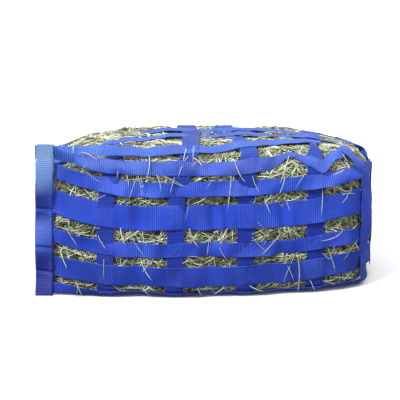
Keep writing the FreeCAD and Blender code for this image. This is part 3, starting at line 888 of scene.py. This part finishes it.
def covered(point, margin):
    """Whether a strap or a hoop lies over this place on the hay."""
    x, y, z = point[..., 0], point[..., 1], point[..., 2]
    hidden = np.zeros(x.shape, bool)
    roof = roof_height(x)
    front, back, top = y < front_face(x)[0] + 60, y > BACK - 80, z > roof - 30
    for middle, mouth, width in FRONT_ROWS:
        hidden |= front & (np.abs(z - mix(middle, mouth, fall(x))) < width / 2 + margin)
    for middle, width in BACK_ROWS:
        hidden |= back & (np.abs(z - middle) < width / 2 + margin)
    for row, slant in TOP_ROWS:
        hidden |= top & (np.abs(y - row - slant * np.maximum(x - CREST, 0)) < NARROW / 2 + margin)
    beside_first = front_face(x)[0] + 63 + TOP_SLANT * np.maximum(x - CREST, 0)
    hidden |= top & (np.abs(y - beside_first) < 22 + margin)
    for at in HOOPS:
        hidden |= np.abs(x - at - 6) < BAND / 2 + 6 + margin
    return hidden | (z < 30) | (x < MOUTH + 20) | (x > END_FACE - 45)


def stalk_mesh(name, centre_lines, side, widths, tones, material):
    """Thin leaf-like prisms along centre lines (stalks, points, 3)."""
    count, points, _ = centre_lines.shape
    t = np.linspace(-1, 1, points)
    taper = (1 - 0.75 * np.abs(t) ** 4)[None, :, None]
    along = np.gradient(centre_lines, axis=1)
    along /= np.linalg.norm(along, axis=-1, keepdims=True) + 1e-9
    across = np.cross(along, side)
    across /= np.linalg.norm(across, axis=-1, keepdims=True) + 1e-9
    up = np.cross(across, along)
    w = widths[:, None, None] * taper
    ring = np.stack([centre_lines + across * w / 2, centre_lines + up * w * 0.32,
                     centre_lines - across * w / 2, centre_lines - up * w * 0.2], 2)
    verts = ring.reshape(-1, 3)
    i, j, k = np.meshgrid(np.arange(count), np.arange(points - 1), np.arange(4), indexing="ij")
    base = (i * points + j) * 4
    quads = np.stack([base + k, base + (k + 1) % 4, base + 4 + (k + 1) % 4, base + 4 + k], -1).reshape(-1, 4)
    first = np.arange(count)[:, None] * points * 4 + np.array([3, 2, 1, 0])
    last = np.arange(count)[:, None] * points * 4 + (points - 1) * 4 + np.array([0, 1, 2, 3])
    faces = np.concatenate([quads, first, last])
    tone = np.repeat(tones, points * 4)
    return make_mesh(name, verts, faces, material, attributes={"tone": tone})


def mound(point):
    """Loose hay heaped over the top straps near the mouth."""
    x, y, z = point[..., 0], point[..., 1], point[..., 2]
    return 27.0 * bell(x, -318, 92) * bell(y, 70, 105) * np.clip((z - 300) / 60, 0, 1)


def make_hay():
    rng = np.random.default_rng(11)
    grid = hay_grid()
    normal, _, _ = normals_of(grid)
    grid = grid + normal * mound(grid)[..., None]
    normal, step_i, step_j = normals_of(grid)
    make_hay_core(rng, grid, normal)
    weight = (step_i * step_j).ravel()
    weight /= weight.sum()
    for batch in range(STALK_BATCHES):
        make_stalks(rng, "hay_stalks_%d" % (batch + 1), grid, normal, step_i, step_j, weight)


def make_hay_core(rng, grid, normal):
    """The lumpy inside of the bale, a little under the stalks, dark with painted shade."""
    rows, columns = grid.shape[:2]
    ii, jj = np.meshgrid(np.arange(rows), np.arange(columns) * 2 * math.pi / columns, indexing="ij")
    lump = sum(rng.normal() * np.sin(ii * rng.uniform(0.1, 0.9) + rng.uniform(0, 6)
                                     + round(rng.uniform(2, 30)) * jj) for _ in range(30))
    core = grid + normal * np.clip(lump * 1.1 - 4, -12, 2)[..., None]
    first, last = np.arange(columns)[::-1], np.arange(columns) + (rows - 1) * columns
    # Low tones: painted shade deep in the bale
    tones = np.clip(rng.normal(0.25, 0.15, rows * columns), 0, 1)
    piece = make_mesh("hay_core", core.reshape(-1, 3), tube_faces(rows, columns)[:, ::-1], HAY_PAINTED_SHADE,
                      [first, last], {"tone": tones})
    show(piece, "bag", "hay", slot="hay")


def make_stalks(rng, name, grid, normal, step_i, step_j, weight):
    """Stalks lying every way on the bale; in the windows they arch out, under straps they stay flat."""
    columns = grid.shape[1]
    pick = rng.choice(weight.size, BATCH_SIZE, p=weight)
    i0 = (pick // columns) + rng.uniform(-0.5, 0.5, BATCH_SIZE)
    j0 = (pick % columns) + rng.uniform(-0.5, 0.5, BATCH_SIZE)
    length = rng.gamma(5.0, 13.0, BATCH_SIZE) + 14
    angle = rng.uniform(0, math.pi, BATCH_SIZE)
    angle = np.where(rng.random(BATCH_SIZE) < 0.25, rng.normal(0.0, 0.5, BATCH_SIZE), angle)
    t = np.linspace(-0.5, 0.5, 6)
    turn = angle[:, None] + rng.normal(0, 0.35, BATCH_SIZE)[:, None] * t[None, :]
    reach = length[:, None] * t[None, :]
    i = i0[:, None] + np.cos(turn) * reach / sample(step_i[..., None], i0, j0)
    j = j0[:, None] + np.sin(turn) * reach / sample(step_j[..., None], i0, j0)
    place, out = sample(grid, i, j), sample(normal, i, j)
    open_here = ~covered(sample(grid, i0, j0), 4.0)
    low = rng.uniform(-4, 7.5, BATCH_SIZE)
    arch = np.where(open_here, rng.uniform(0, 10, BATCH_SIZE), 0.0) * np.clip(length / 60, 0, 1)
    height = low[:, None] + rng.normal(0, 5, BATCH_SIZE)[:, None] * t + arch[:, None] * (1 - 4 * t ** 2)
    height = np.minimum(height, 8.6 + arch[:, None])
    height = np.where(covered(place, 3.0), np.minimum(height, 6.0), height)
    widths = rng.gamma(6.0, 0.42, BATCH_SIZE) + 0.7
    # Stalks lying deeper get darker tones: painted shade among the stalks
    tones = np.clip(rng.beta(1.3, 1.4, BATCH_SIZE) + 0.06 * (low - 2.5), 0, 1)
    side = out + rng.normal(0, 0.45, (BATCH_SIZE, 1, 3))
    piece = stalk_mesh(name, place + out * height[..., None], side, widths, tones, HAY)
    show(piece, "bag", slot="hay")


def make_loose_stalks():
    """Pale stalks that have worked out of the windows and lie over the straps."""
    rng = np.random.default_rng(23)
    count = 85
    middle, mouth, width = FRONT_ROWS[0]
    edges = [(middle + width / 2 + 7, mouth + width / 2 + 2)]
    for (middle, mouth, width), (high, high_mouth, high_width) in zip(FRONT_ROWS[1:], FRONT_ROWS):
        edges.append((middle + width / 2 + 6, mouth + width / 2 + 6))
        edges.append((high - high_width / 2 - 6, high_mouth - high_width / 2 - 6))
    picked = np.array(edges)[rng.integers(0, len(edges), count)]
    s0 = rng.uniform(MOUTH + 15, 430, count)
    p0 = mix(picked[:, 0], picked[:, 1], fall(s0))
    length = rng.gamma(3.5, 13.0, count) + 16
    angle = rng.normal(0, 0.9, count) + math.pi / 2 * np.where(rng.random(count) < 0.3, 1, -1)
    t = np.linspace(0, 1, 7)
    turn = angle[:, None] + rng.normal(0, 0.22, count)[:, None] * t
    s = s0[:, None] + np.cos(turn) * length[:, None] * (t - 0.3)
    p = p0[:, None] + np.sin(turn) * length[:, None] * (t - 0.3)
    place, out = front_wall(s, p)
    tip = rng.uniform(2.0, 12.0, count)[:, None]
    height = np.where(t < 0.3, -9 + 36 * t, 2 + tip * (t - 0.3))
    side = out + rng.normal(0, 0.4, (count, 1, 3))
    piece = stalk_mesh("hay_stalks_loose", place + out * height[..., None], side,
                       rng.gamma(6.0, 0.24, count) + 0.8, rng.uniform(0.7, 1.0, count), HAY)
    show(piece, "bag", slot="hay")


# ---------------------------------------------------------------- stitching

def stitched(strap, corners):
    """Stitches along a path of (distance along, distance across) on a strap's outer face."""
    lines = []
    for (s0, c0), (s1, c1) in zip(corners, corners[1:]):
        count = max(2, int(math.hypot(s1 - s0, c1 - c0) / 5.0))
        for k in range(count):
            t = np.array([k + 0.12, k + 0.5, k + 0.88]) / count
            s, v = mix(s0, s1, t), mix(c0, c1, t) / strap.width
            point, normal = strap.at(s, v)
            lines.append(point + normal * np.array([0.35, 0.85, 0.35])[:, None])
    return lines


def box_stitch(strap, at, half=18.0):
    c = strap.width / 2 - 5
    a, b = at - half, at + half
    box = stitched(strap, [(a, -c), (b, -c), (b, c), (a, c), (a, -c), (b, c)])
    return box + stitched(strap, [(a, c), (b, -c)])


def zigzag_stitch(strap, at, half=19.0):
    c = strap.width / 2 - 6
    lines = []
    for column in np.linspace(-half, half, 5):
        steps = np.arange(-c, c + 1, 7.0)
        lines += stitched(strap, [(at + column + (3.5 if k % 2 else -3.5), y) for k, y in enumerate(steps)])
    return lines


def make_stitches():
    lines = []
    for strap in FRONT_STRAPS:
        for x in HOOPS:
            lines += zigzag_stitch(strap, x) if strap.width > 60 else box_stitch(strap, x)
        lines += box_stitch(strap, MOUTH + 14, 9.0)
    for strap in TOP_STRAPS + BACK_STRAPS:
        for x in HOOPS:
            lines += box_stitch(strap, x)
    for strap in HEM:
        for c in (-BAND / 2 + 4, BAND / 2 - 4, BAND / 2 - 9):
            lines += stitched(strap, [(4, c), (HEM_HEIGHT - 4, c)])
    lines = np.array(lines)
    side = np.zeros((len(lines), 1, 3)) + np.array([0.3, -0.8, 0.5])
    piece = stalk_mesh("stitches", lines, side, np.full(len(lines), 1.1), np.full(len(lines), 0.5), THREAD)
    show(piece, "bag")


# ---------------------------------------------------------------- stage

# Name, direction it comes from, strength, angle it fills in degrees
LIGHTS = [("key", (-1.0, -0.75, 1.15), 3.2, 14), ("back", (0.3, 0.9, 1.4), 0.7, 40)]


def make_floor():
    """A white floor that throws no light back."""
    bpy.ops.mesh.primitive_plane_add(size=60, location=(0, 0, -0.0005))
    floor = bpy.context.object
    floor.name = "floor"
    material, tree, shader = nodes_of("floor_white")
    shader.inputs["Base Color"].default_value = (0.96, 0.96, 0.96, 1)
    shader.inputs["Roughness"].default_value = 0.9
    shader.inputs["Specular IOR Level"].default_value = 0.0
    floor.data.materials.append(material)
    floor.visible_diffuse = False
    floor.visible_glossy = False


def make_sky():
    """A sky that is bright above and dim below."""
    world = bpy.data.worlds.new("studio")
    bpy.context.scene.world = world
    world.use_nodes = True
    tree = world.node_tree
    place = add(tree, "ShaderNodeTexCoord")
    split = add(tree, "ShaderNodeSeparateXYZ")
    link(tree, place.outputs["Generated"], split.inputs[0])
    half = add(tree, "ShaderNodeMath", operation="MULTIPLY_ADD")
    link(tree, split.outputs["Z"], half.inputs[0])
    half.inputs[1].default_value = 0.5
    half.inputs[2].default_value = 0.5
    sky = ramp(tree, half.outputs[0], [(0.0, (0.10, 0.10, 0.12)), (0.42, (0.26, 0.27, 0.30)),
                                       (0.62, (0.62, 0.63, 0.65)), (0.85, (1.2, 1.2, 1.2))])
    link(tree, sky, tree.nodes["Background"].inputs[0])
    tree.nodes["Background"].inputs[1].default_value = 1.0


def make_lights():
    for name, direction, strength, spread in LIGHTS:
        light = bpy.data.lights.new(name, "SUN")
        light.energy, light.angle = strength, math.radians(spread)
        lamp = bpy.data.objects.new(name, light)
        bpy.context.collection.objects.link(lamp)
        lamp.location = direction
        aim(lamp, (0, 0, 0))


def aim(thing, target):
    direction = Vector(target) - thing.location
    thing.rotation_euler = direction.to_track_quat("-Z", "Y").to_euler()


def make_camera():
    elevation = math.radians(20)
    distance, seen_width = 9.0, 1.185
    target = (-0.0145, FRONT * MM, 0.3044)
    camera = bpy.data.cameras.new("camera")
    camera.sensor_width = 36
    camera.lens = camera.sensor_width * distance / seen_width
    eye = bpy.data.objects.new("camera", camera)
    bpy.context.collection.objects.link(eye)
    eye.location = (target[0], target[1] - distance * math.cos(elevation),
                    target[2] + distance * math.sin(elevation))
    aim(eye, target)
    bpy.context.scene.camera = eye
    bpy.context.scene.view_settings.view_transform = "Standard"


def dress_cad_nodes():
    """Materials for the hardware, which is shown as the CAD has it."""
    for name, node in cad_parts.items():
        if name.startswith(("lip_ring_", "hanging_ring_", "snap_")) or name.endswith("_tabs"):
            material = BLUE if name.endswith("_tabs") else METAL
            for slot in node.material_slots:
                slot.material = material


make_camera()
make_front_straps()
make_back_straps()
make_top_and_bottom_straps()
make_hoops()
make_closed_end()
make_mouth()
make_flap()
make_hay()
make_loose_stalks()
make_stitches()
dress_cad_nodes()
make_floor()
make_sky()
make_lights()
